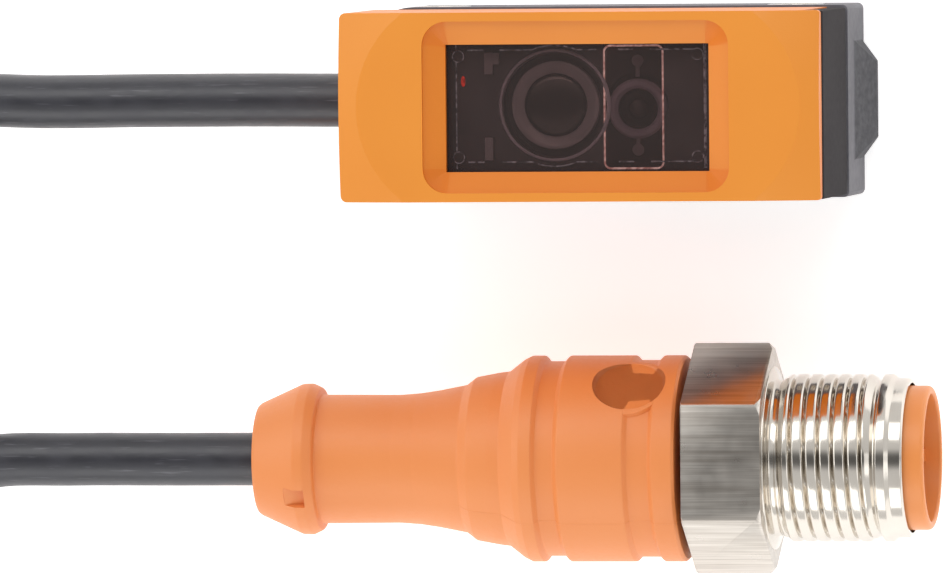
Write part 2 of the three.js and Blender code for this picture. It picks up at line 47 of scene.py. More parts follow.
# where things are: corners of the CAD boxes, and the middles that the pieces are built round
shellLow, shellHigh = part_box("front_housing")
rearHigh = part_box("rear_housing")[1]
bootLow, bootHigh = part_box("connector_boot")
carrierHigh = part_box("optics_carrier")[1]
receiverLow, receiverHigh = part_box("receiver_lens")
emitterLow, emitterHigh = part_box("emitter_barrel")
coilLow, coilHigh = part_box("cable_coil")
headStart = shellLow.x
plugStart = bootLow.x - 0.4 * mm  # where the plug's own measures along it begin
plugCentre = Vector((plugStart, (bootLow.y + bootHigh.y) / 2, (bootLow.z + bootHigh.z) / 2))
receiverCentre = (receiverLow + receiverHigh) / 2
emitterCentre = (emitterLow + emitterHigh) / 2
coilCentre = (coilLow + coilHigh) / 2


# small tools
def toLinear(hexText):
    values = [int(hexText[i:i + 2], 16) / 255 for i in (0, 2, 4)]
    return tuple(v / 12.92 if v <= 0.04045 else ((v + 0.055) / 1.055) ** 2.4 for v in values) + (1.0,)


def addNode(tree, kind, inputs=None, **settings):
    node = tree.nodes.new(kind)
    for name, value in settings.items():
        setattr(node, name, value)
    for key, value in (inputs or {}).items():
        if isinstance(value, bpy.types.NodeSocket):
            tree.links.new(value, node.inputs[key])
        else:
            node.inputs[key].default_value = value
    return node


def newMaterial(name):
    material = bpy.data.materials.new(name)
    material.use_nodes = True
    material.node_tree.nodes.clear()
    return material, material.node_tree


def closeMaterial(tree, shader):
    addNode(tree, "ShaderNodeOutputMaterial", {"Surface": shader})


def addObject(name, data):
    added = bpy.data.objects.new(name, data)
    bpy.context.scene.collection.objects.link(added)
    return added


def meshPiece(name, bm):
    mesh = bpy.data.meshes.new(name)
    bm.to_mesh(mesh)
    bm.free()
    return addObject(name, mesh)


# a curve of straight spans through points, given a round section where a radius is set
def curvePiece(name, points, radius=0.0, resolution=2, cyclic=False):
    data = bpy.data.curves.new(name, "CURVE")
    data.dimensions = "3D"
    data.bevel_depth = radius
    data.bevel_resolution = resolution
    data.use_fill_caps = True
    spline = data.splines.new("POLY")
    spline.points.add(len(points) - 1)
    for spot, point in zip(spline.points, points):
        spot.co = (*point, 1)
    spline.use_cyclic_u = cyclic
    return addObject(name, data)


def bakeModifiers(piece):
    depsgraph = bpy.context.evaluated_depsgraph_get()
    mesh = bpy.data.meshes.new_from_object(piece.evaluated_get(depsgraph))
    piece.modifiers.clear()
    piece.data = mesh
    return piece


def bevelEdges(piece, width, segments, sharperThan):
    bevel = piece.modifiers.new("round", "BEVEL")
    bevel.width = width
    bevel.segments = segments
    bevel.limit_method = "ANGLE"
    bevel.angle_limit = math.radians(sharperThan)
    return bevel


# shading normals follow the larger faces, so a flat face stays flat up to its rounded edge
def weightNormals(piece):
    normals = piece.modifiers.new("normals", "WEIGHTED_NORMAL")
    normals.keep_sharp = True
    return bakeModifiers(piece)


def smoothShade(piece, sharpAngle=35):
    mesh = piece.data
    mesh.polygons.foreach_set("use_smooth", [True] * len(mesh.polygons))
    mesh.set_sharp_from_angle(angle=math.radians(sharpAngle))
    return piece


def paint(piece, material):
    piece.data.materials.clear()
    piece.data.materials.append(material)
    return piece


def finishPiece(piece, material, body="sensor", replaced=()):
    paint(piece, material)
    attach(piece, body)
    if replaced:
        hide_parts(*replaced)
    return piece


# a CAD node's copy with its flat faces joined, cut by a tool where one is given, and its edges rounded
def softCopy(node, name, width, segments=3, keepEdge=None, tool=None):
    bm = bmesh.new()
    bm.from_mesh(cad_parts[node].data)
    bmesh.ops.remove_doubles(bm, verts=bm.verts, dist=2e-6)
    bmesh.ops.dissolve_limit(bm, angle_limit=math.radians(0.7), verts=bm.verts, edges=bm.edges)
    piece = meshPiece(name, bm)
    if tool:
        cutWith(piece, tool)
    bm = bmesh.new()
    bm.from_mesh(piece.data)
    for face in bm.faces:
        face.smooth = True
    if keepEdge:
        for edge in bm.edges:
            edge.smooth = not keepEdge(edge)
    bm.to_mesh(piece.data)
    bm.free()
    bevelEdges(piece, width, segments, 35).miter_outer = "MITER_ARC"
    return weightNormals(piece)


# an outline whose corners are arcs: each point is (along, radius) or (along, radius, fillet)
def filletedOutline(points, steps=5):
    outline = []
    for i, point in enumerate(points):
        here = Vector(point[:2])
        fillet = point[2] if len(point) > 2 else 0
        if fillet == 0 or i in (0, len(points) - 1):
            outline.append(here)
            continue
        before = (Vector(points[i - 1][:2]) - here).normalized()
        after = (Vector(points[i + 1][:2]) - here).normalized()
        half = before.angle(after) / 2
        reach = fillet / math.tan(half)
        centre = here + (before + after).normalized() * fillet / math.sin(half)
        start = here + before * reach - centre
        end = here + after * reach - centre
        turn = start.angle_signed(end)
        for k in range(steps + 1):
            outline.append(centre + Matrix.Rotation(-turn * k / steps, 2) @ start)
    return outline


# a solid turned about a line along X or Z, from (along, radius) points in millimetres
def turnedPiece(name, outline, centre, axis="x", sides=96, radiusAt=None):
    bm = bmesh.new()

    def place(along, radius, angle):
        across = (radius * math.cos(angle), radius * math.sin(angle))
        offset = (along, *across) if axis == "x" else (*across, along)
        return bm.verts.new(centre + Vector(offset) * mm)

    rings = []
    for along, radius in outline:
        if radius < 1e-6:
            rings.append([place(along, 0, 0)])
            continue
        angles = [2 * math.pi * i / sides for i in range(sides)]
        rings.append([
            place(along, radiusAt(along, radius, a) if radiusAt else radius, a) for a in angles
        ])
    closed = len(rings[0]) > 1 and len(rings[-1]) > 1
    pairs = list(zip(rings, rings[1:])) + ([(rings[-1], rings[0])] if closed else [])
    for a, b in pairs:
        for i in range(sides):
            j = (i + 1) % sides
            corners = [a[i % len(a)], a[j % len(a)], b[j % len(b)], b[i % len(b)]]
            unique = [v for k, v in enumerate(corners) if v not in corners[:k]]
            if len(unique) > 2:
                bm.faces.new(unique)
    bmesh.ops.recalc_face_normals(bm, faces=bm.faces)
    return meshPiece(name, bm)


def cutWith(piece, tool, operation="DIFFERENCE"):
    modifier = piece.modifiers.new("cut", "BOOLEAN")
    modifier.operation = operation
    modifier.solver = "EXACT"
    modifier.object = tool
    bakeModifiers(piece)
    bpy.data.objects.remove(tool)
    return piece


def boxMesh(name, low, high):
    bm = bmesh.new()
    bmesh.ops.create_cube(bm, size=1)
    size = Vector(high) - Vector(low)
    middle = (Vector(high) + Vector(low)) / 2
    bmesh.ops.scale(bm, vec=size, verts=bm.verts)
    bmesh.ops.translate(bm, vec=middle, verts=bm.verts)
    return meshPiece(name, bm)


# camera
view = {
    "distance": 1.2,
    "turn": 9.64,  # degrees towards the lug end
    "tilt": 1.97,
    "roll": -0.545,
    "targetX": 7.6 * mm,  # from the head's cable end
    "targetY": -12.94 * mm,
    "targetZ": 10 * mm,
    "imageMm": 36.0,
    "framedWidth": 66.8 * mm,  # what the frame's width takes in at the target
}


def addCamera():
    turn, tilt, roll = (math.radians(view[key]) for key in ("turn", "tilt", "roll"))
    back = Vector((math.sin(turn) * math.cos(tilt), math.sin(tilt), math.cos(turn) * math.cos(tilt)))
    level = Vector((0, 1, 0)).cross(back).normalized()
    upright = back.cross(level)
    right = level * math.cos(roll) + upright * math.sin(roll)
    up = upright * math.cos(roll) - level * math.sin(roll)
    target = Vector((headStart + view["targetX"], view["targetY"], view["targetZ"]))
    data = bpy.data.cameras.new("camera")
    data.sensor_width = view["imageMm"]
    data.lens = view["imageMm"] * view["distance"] / view["framedWidth"]
    camera = addObject("camera", data)
    camera.matrix_world = Matrix((right, up, back)).transposed().to_4x4()
    camera.location = target + back * view["distance"]
    bpy.context.scene.camera = camera


addCamera()

# cable
cable = {
    "diameter": 3.8 * mm,
    "turns": 1.5,
    "turnRadius": 20 * mm,
    "pointsPerTurn": 24,
    "hop": (300, 430),  # degrees along the coil between which the cable climbs onto its first turn
    "stepsPerSpan": 6,
}
layerLow = coilLow.z + cable["diameter"] / 2
layerHigh = layerLow + cable["diameter"]

# the head's run and the plug's run, in millimetres from the head's cable end
headRun = [
    (2.8, 0.2, 8), (-8, 0.3, 8), (-16, 0.3, 8), (-25, 0.3, 7.95), (-31, 0.8, 7.2), (-37, 2.8, 5.5),
    (-42.5, 5.4, 3.9), (-47.5, 7, 3),
]
plugRun = [
    (-48, -32.45, 6.4), (-43.5, -31.6, 6.4), (-38.5, -29.6, 6.4), (-33.5, -27.2, 6.6), (-28, -25.45, 7),
    (-22, -25.25, 7.25), (-14, -25.25, 7.35), (1.9, -25.25, 7.35),
]


def coilPoints():
    points = []
    count = int(cable["turns"] * cable["pointsPerTurn"])
    hopStart, hopEnd = cable["hop"]
    for i in range(count + 1):
        degrees = 90 + 360 * cable["turns"] * i / count
        climb = min(max((degrees - hopStart) / (hopEnd - hopStart), 0), 1)
        height = layerLow + (layerHigh - layerLow) * (3 * climb ** 2 - 2 * climb ** 3)
        angle = math.radians(degrees)
        x = coilCentre.x + cable["turnRadius"] * math.cos(angle)
        y = coilCentre.y + cable["turnRadius"] * math.sin(angle)
        points.append(Vector((x, y, height)))
    return points


# a smooth line through points, with even speed where their spacing changes
def smoothLine(points, steps):
    ends = [points[0] * 2 - points[1]] + points + [points[-1] * 2 - points[-2]]
    line = []
    for p0, p1, p2, p3 in zip(ends, ends[1:], ends[2:], ends[3:]):
        t1 = (p1 - p0).length ** 0.5
        t2 = t1 + (p2 - p1).length ** 0.5
        t3 = t2 + (p3 - p2).length ** 0.5
        for k in range(steps):
            t = t1 + (t2 - t1) * k / steps
            a1 = p0.lerp(p1, t / t1)
            a2 = p1.lerp(p2, (t - t1) / (t2 - t1))
            a3 = p2.lerp(p3, (t - t2) / (t3 - t2))
            b1 = a1.lerp(a2, t / t2)
            b2 = a2.lerp(a3, (t - t1) / (t3 - t1))
            line.append(b1.lerp(b2, (t - t1) / (t2 - t1)))
    return line + [points[-1]]


def fromHead(point):
    return Vector((headStart + point[0] * mm, point[1] * mm, point[2] * mm))


def addCable():
    route = [fromHead(p) for p in headRun] + coilPoints() + [fromHead(p) for p in plugRun]
    line = smoothLine(route, cable["stepsPerSpan"])
    piece = curvePiece("cable", line, cable["diameter"] / 2, resolution=10)
    piece.data.splines[0].use_smooth = True
    print("cable length", round(sum((b - a).length for a, b in zip(line, line[1:])), 4), "m")
    return piece


cablePiece = addCable()


# light and floor
studio = {
    # the sky's brightness by the sine of its height across X: a dark strip lies overhead, along X
    "sky": {"horizon": (0.3, 0.9), "zenith": (0.997, 0.13), "shoulder": (0.965, 0.76)},
    "softboxes": {  # place, width, height and watts
        "frontSoftbox": ((-0.05, -0.55, 0.34), 0.9, 0.36, 1.4),
        "backSoftbox": ((-0.05, 0.42, 0.52), 0.9, 0.3, 1.6),
        "leftSoftbox": ((-0.6, 0.12, 0.36), 0.5, 0.36, 1.1),
        "rightSoftbox": ((0.65, -0.1, 0.3), 0.3, 0.3, 0.3),
    },
    "floorHalf": 2,
    "floorDrop": 0.2 * mm,
    "floorGlow": 0.55,
}


def softbox(name, place, width, height, watts):
    light = bpy.data.lights.new(name, "AREA")
    light.shape = "RECTANGLE"
    light.size = width
    light.size_y = height
    light.energy = watts
    lamp = addObject(name, light)
    lamp.location = place
    lamp.rotation_euler = (-Vector(place)).to_track_quat("-Z", "Y").to_euler()


def addStudio():
    world = bpy.data.worlds.new("studio")
    world.use_nodes = True
    tree = world.node_tree
    tree.nodes.clear()
    direction = addNode(tree, "ShaderNodeTexCoord").outputs["Generated"]
    parts = addNode(tree, "ShaderNodeSeparateXYZ", {"Vector": direction}).outputs

    def calculate(operation, *values):
        return addNode(tree, "ShaderNodeMath", dict(enumerate(values)), operation=operation).outputs[0]

    side = calculate("MULTIPLY", parts["Y"], parts["Y"])
    across = calculate("POWER", calculate("MULTIPLY_ADD", parts["Z"], parts["Z"], side), 0.5)
    ramp = addNode(tree, "ShaderNodeValToRGB", {"Fac": calculate("DIVIDE", parts["Z"], across)})
    elements = ramp.color_ramp.elements
    for element, name in ((elements[0], "horizon"), (elements[1], "zenith")):
        element.position, level = studio["sky"][name]
        element.color = (level,) * 3 + (1,)
    position, level = studio["sky"]["shoulder"]
    elements.new(position).color = (level,) * 3 + (1,)
    sky = addNode(tree, "ShaderNodeBackground", {"Color": ramp.outputs["Color"]})
    addNode(tree, "ShaderNodeOutputWorld", {"Surface": sky.outputs["Background"]})
    bpy.context.scene.world = world
    for name, values in studio["softboxes"].items():
        softbox(name, *values)

    bm = bmesh.new()
    bmesh.ops.create_grid(bm, x_segments=1, y_segments=1, size=studio["floorHalf"])
    bmesh.ops.translate(bm, vec=(0, 0, -studio["floorDrop"]), verts=bm.verts)
    floor = meshPiece("floor", bm)
    material, tree = newMaterial("pale studio paper")
    paper = addNode(tree, "ShaderNodeBsdfDiffuse", {"Color": toLinear("f4f3f2")})
    glow = addNode(tree, "ShaderNodeEmission", {"Strength": studio["floorGlow"]})
    both = addNode(tree, "ShaderNodeAddShader", {0: paper.outputs[0], 1: glow.outputs[0]})
    closeMaterial(tree, both.outputs[0])
    paint(floor, material)
    bpy.context.scene.view_settings.view_transform = "Standard"


addStudio()
print("camera, cable route and studio done")


# materials
def objectPoint(tree, scale=(1, 1, 1)):
    point = addNode(tree, "ShaderNodeTexCoord").outputs["Object"]
    return addNode(tree, "ShaderNodeMapping", {"Vector": point, "Scale": scale}).outputs["Vector"]


# noise whose grain measures so many millimetres across, stretched along X by the given factor
def grain(tree, sizeMm, detail=2, stretch=1):
    count = 1 / (sizeMm * mm)
    point = objectPoint(tree, (count / stretch, count, count))
    noise = addNode(tree, "ShaderNodeTexNoise", {"Vector": point, "Scale": 1.0, "Detail": detail})
    return noise.outputs["Fac"]


def spread(tree, value, low, high, fromLow=0.3, fromHigh=0.7):
    inputs = {"Value": value, "From Min": fromLow, "From Max": fromHigh, "To Min": low, "To Max": high}
    return addNode(tree, "ShaderNodeMapRange", inputs).outputs["Result"]


def mixColours(tree, factor, first, second):
    mix = addNode(tree, "ShaderNodeMix", data_type="RGBA")
    for index, value in ((0, factor), (6, first), (7, second)):
        if isinstance(value, bpy.types.NodeSocket):
            tree.links.new(value, mix.inputs[index])
        else:
            mix.inputs[index].default_value = value
    return mix.outputs[2]


def bump(tree, height, distanceMm, strength=1.0):
    inputs = {"Height": height, "Distance": distanceMm * mm, "Strength": strength}
    return addNode(tree, "ShaderNodeBump", inputs).outputs["Normal"]


# moulded plastic: a fine spark-eroded grain and a slow drift of colour, as from the melt's flow
def mouldedPlastic(name, light, dark, rough, grainMm=0.16, grainDeep=0.006, specular=0.5):
    material, tree = newMaterial(name)
    drift = spread(tree, grain(tree, 9, 1), 0, 1)
    fine = grain(tree, grainMm, 3)
    colour = mixColours(tree, drift, toLinear(light), toLinear(dark))
    roughness = spread(tree, fine, rough - 0.04, rough + 0.05)
    shader = addNode(tree, "ShaderNodeBsdfPrincipled", {
        "Base Color": colour, "Roughness": roughness, "Normal": bump(tree, fine, grainDeep),
        "IOR": 1.5, "Specular IOR Level": specular,
    })
    closeMaterial(tree, shader.outputs[0])
    return material


# glass-filled PBT orange with painted shade: faces tilted well away from straight up, such as the
# frame's slopes round the window, get a deeper, darker orange that stands in for shade and for orange
# light bounced between the slopes
def makeOrangeHousing():
    material, tree = newMaterial("satin moulded PBT orange")
    normal = addNode(tree, "ShaderNodeNewGeometry").outputs["Normal"]
    level = addNode(tree, "ShaderNodeSeparateXYZ", {"Vector": normal}).outputs["Z"]
    # painted shade mask from the shading normal: 1 on tilted faces, 0 on the flat face
    slope = spread(tree, level, 1, 0, 0.84, 0.9)
    drift = spread(tree, grain(tree, 9, 1), 0, 1)
    fine = grain(tree, 0.16, 3)
    flat = mixColours(tree, drift, toLinear("e08d33"), toLinear("dd8930"))
    deep = mixColours(tree, drift, toLinear("dc7813"), toLinear("d87411"))
    shader = addNode(tree, "ShaderNodeBsdfPrincipled", {
        "Base Color": mixColours(tree, slope, flat, deep), "Roughness": spread(tree, fine, 0.38, 0.48),
        "Normal": bump(tree, fine, 0.006), "IOR": 1.5, "Specular IOR Level": 0.38,
    })
    closeMaterial(tree, shader.outputs[0])
    return material


orangeHousing = makeOrangeHousing()

# soft polyurethane moulded over the cable: warmer, softer and a little uneven
orangeSleeve = mouldedPlastic("overmoulded polyurethane orange", "e28b4e", "df8648", 0.46, 0.3, 0.012)

# polyamide insert: even orange with a tight sheen
orangeInsert = mouldedPlastic("moulded polyamide insert orange", "e58f4c", "e28a46", 0.38, 0.12, 0.004)

# dark cover over the lamps, nearly matt
darkCover = mouldedPlastic("moulded polycarbonate smoke", "3d3a3b", "383536", 0.8, 0.5, 0.003, 0.05)

# mouldings: the carrier, black in itself, is lifted to a mid grey as painted light, making up for light
# the smoked pane and the recess keep from it; the controls and the tie are dark
carrierMoulding = mouldedPlastic("moulded polycarbonate black", "66646a", "5d5b61", 0.4, 0.2, 0.005)
controlMoulding = mouldedPlastic("moulded polyamide black", "2b2a2c", "242325", 0.45)
knobMoulding = mouldedPlastic("moulded acetal grey", "57565a", "504f53", 0.4)
tieMoulding = mouldedPlastic("moulded nylon black", "222224", "1c1c1e", 0.42, 0.2, 0.006)


# glass-filled polyamide: mid grey with a dry grain, darker and rougher on the lug
def makeGreyHousing():
    material, tree = newMaterial("glass filled polyamide grey")
    point = addNode(tree, "ShaderNodeTexCoord").outputs["Object"]
    along = addNode(tree, "ShaderNodeSeparateXYZ", {"Vector": point}).outputs["X"]
    lugStart = rearHigh.x - 1.17 * mm
    onLug = spread(tree, along, 0, 1, lugStart, lugStart + 0.1 * mm)
    fine = grain(tree, 0.22, 4)
    coarse = grain(tree, 0.5, 3)
    speckle = spread(tree, coarse, 0, 1)
    body = mixColours(tree, speckle, toLinear("5f5d63"), toLinear("69676c"))
    lug = mixColours(tree, speckle, toLinear("39383c"), toLinear("504f53"))
    height = mixColours(tree, onLug, fine, coarse)
    rough = spread(tree, onLug, 0.62, 0.8, 0, 1)
    deep = addNode(tree, "ShaderNodeBump", {
        "Height": height, "Distance": 0.03 * mm, "Strength": spread(tree, onLug, 0.35, 1.0, 0, 1),
    })
    shader = addNode(tree, "ShaderNodeBsdfPrincipled", {
        "Base Color": mixColours(tree, onLug, body, lug), "Roughness": rough,
        "Normal": deep.outputs["Normal"], "IOR": 1.52,
    })
    closeMaterial(tree, shader.outputs[0])
    return material


greyHousing = makeGreyHousing()


# silicone and nitrile rubber: matt, with a faint bloom
def makeRubber():
    material, tree = newMaterial("moulded nitrile rubber black")
    bloom = spread(tree, grain(tree, 1.2, 4), 0, 1)
    shader = addNode(tree, "ShaderNodeBsdfPrincipled", {
        "Base Color": mixColours(tree, bloom, toLinear("1f1f20"), toLinear("2a2a2b")),
        "Roughness": spread(tree, bloom, 0.7, 0.85), "Normal": bump(tree, grain(tree, 0.2, 2), 0.006),
        "IOR": 1.52,
    })
    closeMaterial(tree, shader.outputs[0])
    return material


rubber = makeRubber()


# extruded polyurethane jacket: dark grey, half matt, with faint rubbed lines along it
def makeCableJacket():
    material, tree = newMaterial("extruded polyurethane jacket grey")
    rub = spread(tree, grain(tree, 0.22, 3, 14), 0, 1, 0.62, 0.78)
    mottle = spread(tree, grain(tree, 1.6, 3), 0, 1)
    base = mixColours(tree, mottle, toLinear("26262c"), toLinear("2b2b32"))
    colour = mixColours(tree, rub, base, toLinear("56555b"))
    rough = mixColours(tree, rub, spread(tree, mottle, 0.33, 0.4), (0.3, 0.3, 0.3, 1))
    shader = addNode(tree, "ShaderNodeBsdfPrincipled", {
        "Base Color": colour, "Roughness": rough, "IOR": 1.6,
        "Normal": bump(tree, grain(tree, 0.35, 3), 0.012),
    })
    closeMaterial(tree, shader.outputs[0])
    return material


cableJacket = makeCableJacket()


# nickel plate over turned brass: fine lines run round the axis, so they lie across X
def makeTurnedNickel():
    material, tree = newMaterial("nickel plated turned brass")
    count = 1 / (0.09 * mm)
    rings = addNode(tree, "ShaderNodeTexNoise", {
        "Vector": objectPoint(tree, (count, count / 30, count / 30)), "Scale": 1.0, "Detail": 2.0,
    }).outputs["Fac"]
    cloud = grain(tree, 2.2, 2)
    shader = addNode(tree, "ShaderNodeBsdfPrincipled", {
        "Base Color": mixColours(tree, cloud, toLinear("cdc6bc"), toLinear("dad4cb")), "Metallic": 1.0,
        "Roughness": spread(tree, cloud, 0.11, 0.17), "Normal": bump(tree, rings, 0.003, 0.5),
    })
    closeMaterial(tree, shader.outputs[0])
    return material


# the hexagon's bar stock: drawn lines run along the flats under the plating
def makeDrawnNickel():
    material, tree = newMaterial("nickel plated drawn brass")
    lines = grain(tree, 0.1, 4, 60)
    broad = grain(tree, 0.5, 2, 30)
    cloud = grain(tree, 1.5, 3)
    streak = mixColours(tree, 0.5, lines, broad)
    bands = spread(tree, streak, 0, 1, 0.35, 0.65)
    colour = mixColours(tree, bands, toLinear("aca49b"), toLinear("d6d0c8"))
    shader = addNode(tree, "ShaderNodeBsdfPrincipled", {
        "Base Color": colour, "Metallic": 1.0, "Roughness": spread(tree, cloud, 0.27, 0.34),
        "Normal": bump(tree, broad, 0.004, 0.6),
    })
    closeMaterial(tree, shader.outputs[0])
    return material


turnedNickel = makeTurnedNickel()
drawnNickel = makeDrawnNickel()


# plain metals: tinned sheet and gold-plated pins, each with a soft cloud in its polish
def platedMetal(name, light, dark, rough):
    material, tree = newMaterial(name)
    cloud = spread(tree, grain(tree, 0.8, 3), 0, 1)
    shader = addNode(tree, "ShaderNodeBsdfPrincipled", {
        "Base Color": mixColours(tree, cloud, toLinear(light), toLinear(dark)), "Metallic": 1.0,
        "Roughness": spread(tree, cloud, rough, rough + 0.1, 0, 1),
        "Normal": bump(tree, grain(tree, 0.15, 2), 0.002),
    })
    closeMaterial(tree, shader.outputs[0])
    return material


tinnedSteel = platedMetal("tin plated steel sheet", "c9c8c4", "b8b7b3", 0.3)
goldPlate = platedMetal("gold plated brass", "e8c06a", "dcb05a", 0.2)


# acrylic: it darkens what is behind it, mirrors the studio, and its smoke scatters a trace of light
def clearPlastic(name, tint, haze=0.05, smoke=0.0):
    material, tree = newMaterial(name)
    cloud = spread(tree, grain(tree, 3, 2), 0, 1)
    dark = tuple(v * 0.93 for v in toLinear(tint)[:3]) + (1,)
    through = addNode(tree, "ShaderNodeBsdfTransparent", {
        "Color": mixColours(tree, cloud, toLinear(tint), dark),
    })
    scatter = addNode(tree, "ShaderNodeBsdfDiffuse", {"Color": toLinear("c9b4ae")})
    body = addNode(tree, "ShaderNodeMixShader", {
        0: smoke, 1: through.outputs[0], 2: scatter.outputs[0],
    })
    mirror = addNode(tree, "ShaderNodeBsdfGlossy", {
        "Color": (1, 1, 1, 1), "Roughness": spread(tree, cloud, haze, haze + 0.03, 0, 1),
    })
    edge = addNode(tree, "ShaderNodeFresnel", {"IOR": 1.49})
    both = addNode(tree, "ShaderNodeMixShader", {
        0: edge.outputs[0], 1: body.outputs[0], 2: mirror.outputs[0],
    })
    closeMaterial(tree, both.outputs[0])
    return material


smokedAcrylic = clearPlastic("cast acrylic smoked", "e6dad8", smoke=0.032)
clearAcrylic = clearPlastic("moulded acrylic clear", "e9e4e6", haze=0.08)


# acrylic lines with a pale colour and an emission glow: on the cut edge and on the ridges the glow is a
# painted highlight; on the red pilot it is the lamp's own light
def makeEdgeAcrylic(name, light, dark, glow):
    material, tree = newMaterial(name)
    beads = spread(tree, grain(tree, 0.35, 3), 0, 1, 0.4, 0.6)
    colour = mixColours(tree, beads, toLinear(dark), toLinear(light))
    shader = addNode(tree, "ShaderNodeBsdfPrincipled", {
        "Base Color": colour, "Roughness": 0.25, "IOR": 1.49, "Emission Color": colour,
        "Emission Strength": glow,
    })
    closeMaterial(tree, shader.outputs[0])
    return material


# painted highlight: pale glowing lines for the plate's cut edge and the carrier's ridges
edgeHighlightAcrylic = makeEdgeAcrylic("cut acrylic edge painted highlight", "ffdcd6", "b88882", 0.6)
ridgeHighlightAcrylic = makeEdgeAcrylic("moulded acrylic ridge painted highlight", "cfd2df", "62636b", 0.14)
pilotGlow = makeEdgeAcrylic("red lit acrylic", "ff3a20", "a01408", 0.5)


# moulded lens plastics: dark filters with a tight highlight, and paler frosted rims; all three colours
# are lightened past the parts' own as painted light, making up for light the smoked pane keeps out
def makeLens(name, tint, rough):
    material, tree = newMaterial(name)
    cloud = spread(tree, grain(tree, 0.9, 2), rough, rough + 0.05)
    shader = addNode(tree, "ShaderNodeBsdfPrincipled", {
        "Base Color": toLinear(tint), "Roughness": cloud, "IOR": 1.58, "Coat Weight": 0.6,
    })
    closeMaterial(tree, shader.outputs[0])
    return material


lensDark = makeLens("infrared filter lens", "343135", 0.12)
lensRim = makeLens("moulded lens rim", "b3b1b9", 0.3)
lensPale = makeLens("moulded lens skirt", "dcdaea", 0.3)


# woven glass laminate under green mask, with its weave just showing
def makeBoard():
    material, tree = newMaterial("solder masked glass laminate")
    weave = addNode(tree, "ShaderNodeTexBrick", {
        "Vector": objectPoint(tree), "Scale": 1 / (1.2 * mm), "Color1": toLinear("1d5b39"),
        "Color2": toLinear("1a5434"), "Mortar": toLinear("236843"),
    })
    shader = addNode(tree, "ShaderNodeBsdfPrincipled", {
        "Base Color": weave.outputs["Color"], "Roughness": 0.35, "IOR": 1.5,
        "Normal": bump(tree, grain(tree, 0.4, 2), 0.004),
    })
    closeMaterial(tree, shader.outputs[0])
    return material


boardLaminate = makeBoard()
chipEpoxy = mouldedPlastic("moulded chip epoxy", "1c1c1e", "161618", 0.5, 0.1, 0.006)


# cast resin of a lamp: coloured, smooth and a little lit from inside
def lampResin(name, colour, glow):
    material, tree = newMaterial(name)
    cloud = spread(tree, grain(tree, 0.5, 2), 0, 1)
    dark = tuple(v * 0.7 for v in toLinear(colour)[:3]) + (1,)
    tint = mixColours(tree, cloud, toLinear(colour), dark)
    shader = addNode(tree, "ShaderNodeBsdfPrincipled", {
        "Base Color": tint, "Roughness": 0.2, "IOR": 1.54,
        "Emission Color": tint, "Emission Strength": glow,
    })
    closeMaterial(tree, shader.outputs[0])
    return material


powerResin = lampResin("cast lamp resin green", "3fae5c", 0.1)
outputResin = lampResin("cast lamp resin yellow", "e6ac22", 0.1)
emitterResin = lampResin("cast lamp resin red", "c8301f", 0.4)

print("materials done:", len(bpy.data.materials))

# head
shell = {
    "edge": 0.14 * mm,
    "rearEdge": 0.2 * mm,
    "coverEdge": 0.12 * mm,
    "frame": (6.03, 27.77, -6.02, 6.02),  # the sloping frame's outer edge, lengthwise and across
    "frameCorner": 1.72,
    "frameStep": 0.36,  # how far the frame's edge drops before its slope begins
    "window": (7.7, 26.0, -4.4, 4.2),
    "windowFloor": 1.34,
}


def isFaceArc(edge):  # where the flat of the face turns into the falling corners
    if len(edge.link_faces) != 2:
        return False
    angle = math.degrees(edge.calc_face_angle())
    return 8 < angle < 34


# a flat ring of corners round a rectangle, this far below the shell's face
def roundedRing(box, radius, drop):
    low, high, near, far = box
    places = ((high, far, 0), (low, far, 90), (low, near, 180), (high, near, 270))
    ring = []
    for x, y, start in places:
        middleX = x - radius if x == high else x + radius
        middleY = y - radius if y == far else y + radius
        for k in range(9):
            angle = math.radians(start + 11.25 * k)
            ring.append(Vector((headStart + (middleX + radius * math.cos(angle)) * mm,
                                (middleY + radius * math.sin(angle)) * mm, shellHigh.z - drop * mm)))
    return ring


# the step and slope between the shell's face and the window
def frameTool():
    bm = bmesh.new()
    for drop in (-0.5, shell["frameStep"]):
        for point in roundedRing(shell["frame"], shell["frameCorner"], drop):
            bm.verts.new(point)
    for point in roundedRing(shell["window"], 0.05, shell["windowFloor"]):
        bm.verts.new(point)
    bmesh.ops.convex_hull(bm, input=bm.verts)
    bmesh.ops.recalc_face_normals(bm, faces=bm.faces)
    return meshPiece("frameTool", bm)


def addShells():
    front = softCopy("front_housing", "frontShell", shell["edge"], keepEdge=isFaceArc, tool=frameTool())
    finishPiece(front, orangeHousing, replaced=["front_housing"])
    rear = softCopy("rear_housing", "rearShell", shell["rearEdge"], keepEdge=isFaceArc)
    finishPiece(rear, greyHousing, replaced=["rear_housing"])
    cover = softCopy("indicator_cover", "endCover", shell["coverEdge"])
    finishPiece(cover, darkCover, replaced=["indicator_cover"])
    for i in (1, 2):
        node = "mounting_sleeve_" + str(i)
        sleeve = softCopy(node, "screwSleeve" + str(i), 0.08 * mm)
        finishPiece(sleeve, turnedNickel, replaced=[node])
    for label in ("range", "mode"):
        node = label + "_knob"
        knob = softCopy(node, label + "Knob", 0.06 * mm)
        finishPiece(knob, knobMoulding, body=node, replaced=[node])
    print("shells, sleeves and knobs done")


addShells()


